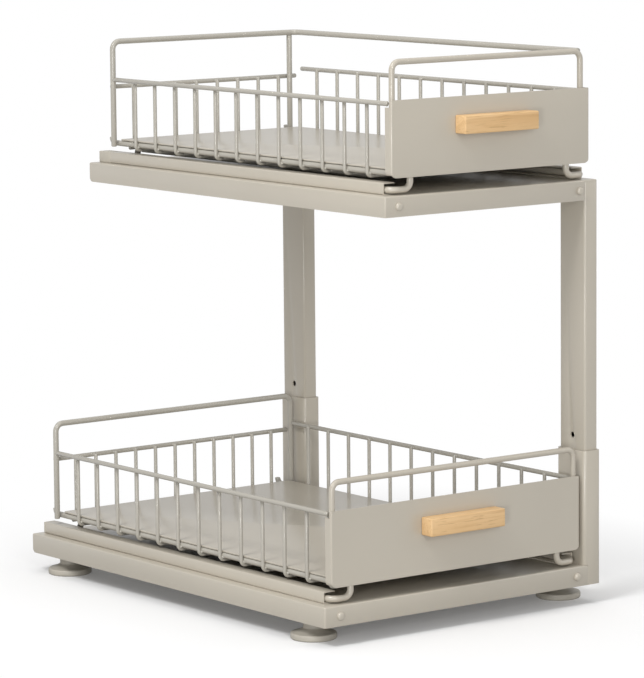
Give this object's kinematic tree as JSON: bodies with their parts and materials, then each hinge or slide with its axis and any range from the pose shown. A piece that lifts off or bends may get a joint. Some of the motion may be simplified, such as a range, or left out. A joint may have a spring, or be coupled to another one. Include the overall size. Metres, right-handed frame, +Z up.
{
  "type": "pull-out cabinet basket",
  "caption": "Free-standing two-tier organiser: wire baskets with sheet fronts and wooden handles slide out of C-channels on two decks joined by telescoping posts at one side.",
  "frame": {"origin": "middle of the floor under the whole unit, at the height of the feet's undersides", "axes": "X to the right seen from the front, Y from the front to the back, Z up; the baskets pull out towards -Y"},
  "size_m": [0.299, 0.4354, 0.4678],
  "materials": {
    "paint": "satin warm grey powder coat on steel",
    "wood": "light oiled wood, fine straight grain",
    "zinc": "zinc-plated steel fasteners",
    "plastic": "matt warm grey moulded plastic"
  },
  "bodies": {
    "base": {"base_deck": "paint", "lower_left_channel": "paint", "lower_right_channel": "paint", "front_sleeve": "paint", "back_sleeve": "paint", "lower_rear_stops": "plastic", "lower_flange_screws": "paint", "lower_flange_nuts": "zinc", "foot_nuts": "zinc", "lock_screws": "zinc"},
    "upper_frame": {"upper_deck": "paint", "front_post": "paint", "back_post": "paint", "upper_left_channel": "paint", "upper_right_channel": "paint", "upper_rear_stops": "plastic", "upper_flange_screws": "paint", "upper_flange_nuts": "zinc"},
    "lower_basket": {"lower_front_panel": "paint", "lower_handle": "wood", "lower_handle_screws": "zinc", "lower_floor_plate": "paint", "lower_floor_wires": "paint", "lower_left_wires": "paint", "lower_right_wires": "paint", "lower_back_wires": "paint", "lower_left_runner": "paint", "lower_right_runner": "paint", "lower_back_guard": "paint", "lower_front_guard": "paint"},
    "upper_basket": {"upper_front_panel": "paint", "upper_handle": "wood", "upper_handle_screws": "zinc", "upper_floor_plate": "paint", "upper_floor_wires": "paint", "upper_left_wires": "paint", "upper_right_wires": "paint", "upper_back_wires": "paint", "upper_left_runner": "paint", "upper_right_runner": "paint", "upper_back_guard": "paint", "upper_back_upright": "paint", "upper_front_guard": "paint"},
    "front_left_levelling_foot": {"front_left_foot": "plastic", "front_left_stud": "zinc"},
    "front_right_levelling_foot": {"front_right_foot": "plastic", "front_right_stud": "zinc"},
    "back_left_levelling_foot": {"back_left_foot": "plastic", "back_left_stud": "zinc"},
    "back_right_levelling_foot": {"back_right_foot": "plastic", "back_right_stud": "zinc"}
  },
  "joints": [
    {"name": "upper_deck_height", "type": "slide", "parent": "base", "child": "upper_frame", "axis": [0, 0, 1], "range_m": [-0.025, 0.025]},
    {"name": "lower_basket_slide", "type": "slide", "parent": "base", "child": "lower_basket", "axis": [0, -1, 0], "range_m": [0, 0.28]},
    {"name": "upper_basket_slide", "type": "slide", "parent": "upper_frame", "child": "upper_basket", "axis": [0, -1, 0], "range_m": [0, 0.28]},
    {"name": "front_left_levelling", "type": "slide", "parent": "base", "child": "front_left_levelling_foot", "axis": [0, 0, -1], "range_m": [0, 0.006]},
    {"name": "front_right_levelling", "type": "slide", "parent": "base", "child": "front_right_levelling_foot", "axis": [0, 0, -1], "range_m": [0, 0.006]},
    {"name": "back_left_levelling", "type": "slide", "parent": "base", "child": "back_left_levelling_foot", "axis": [0, 0, -1], "range_m": [0, 0.006]},
    {"name": "back_right_levelling", "type": "slide", "parent": "base", "child": "back_right_levelling_foot", "axis": [0, 0, -1], "range_m": [0, 0.006]}
  ]
}
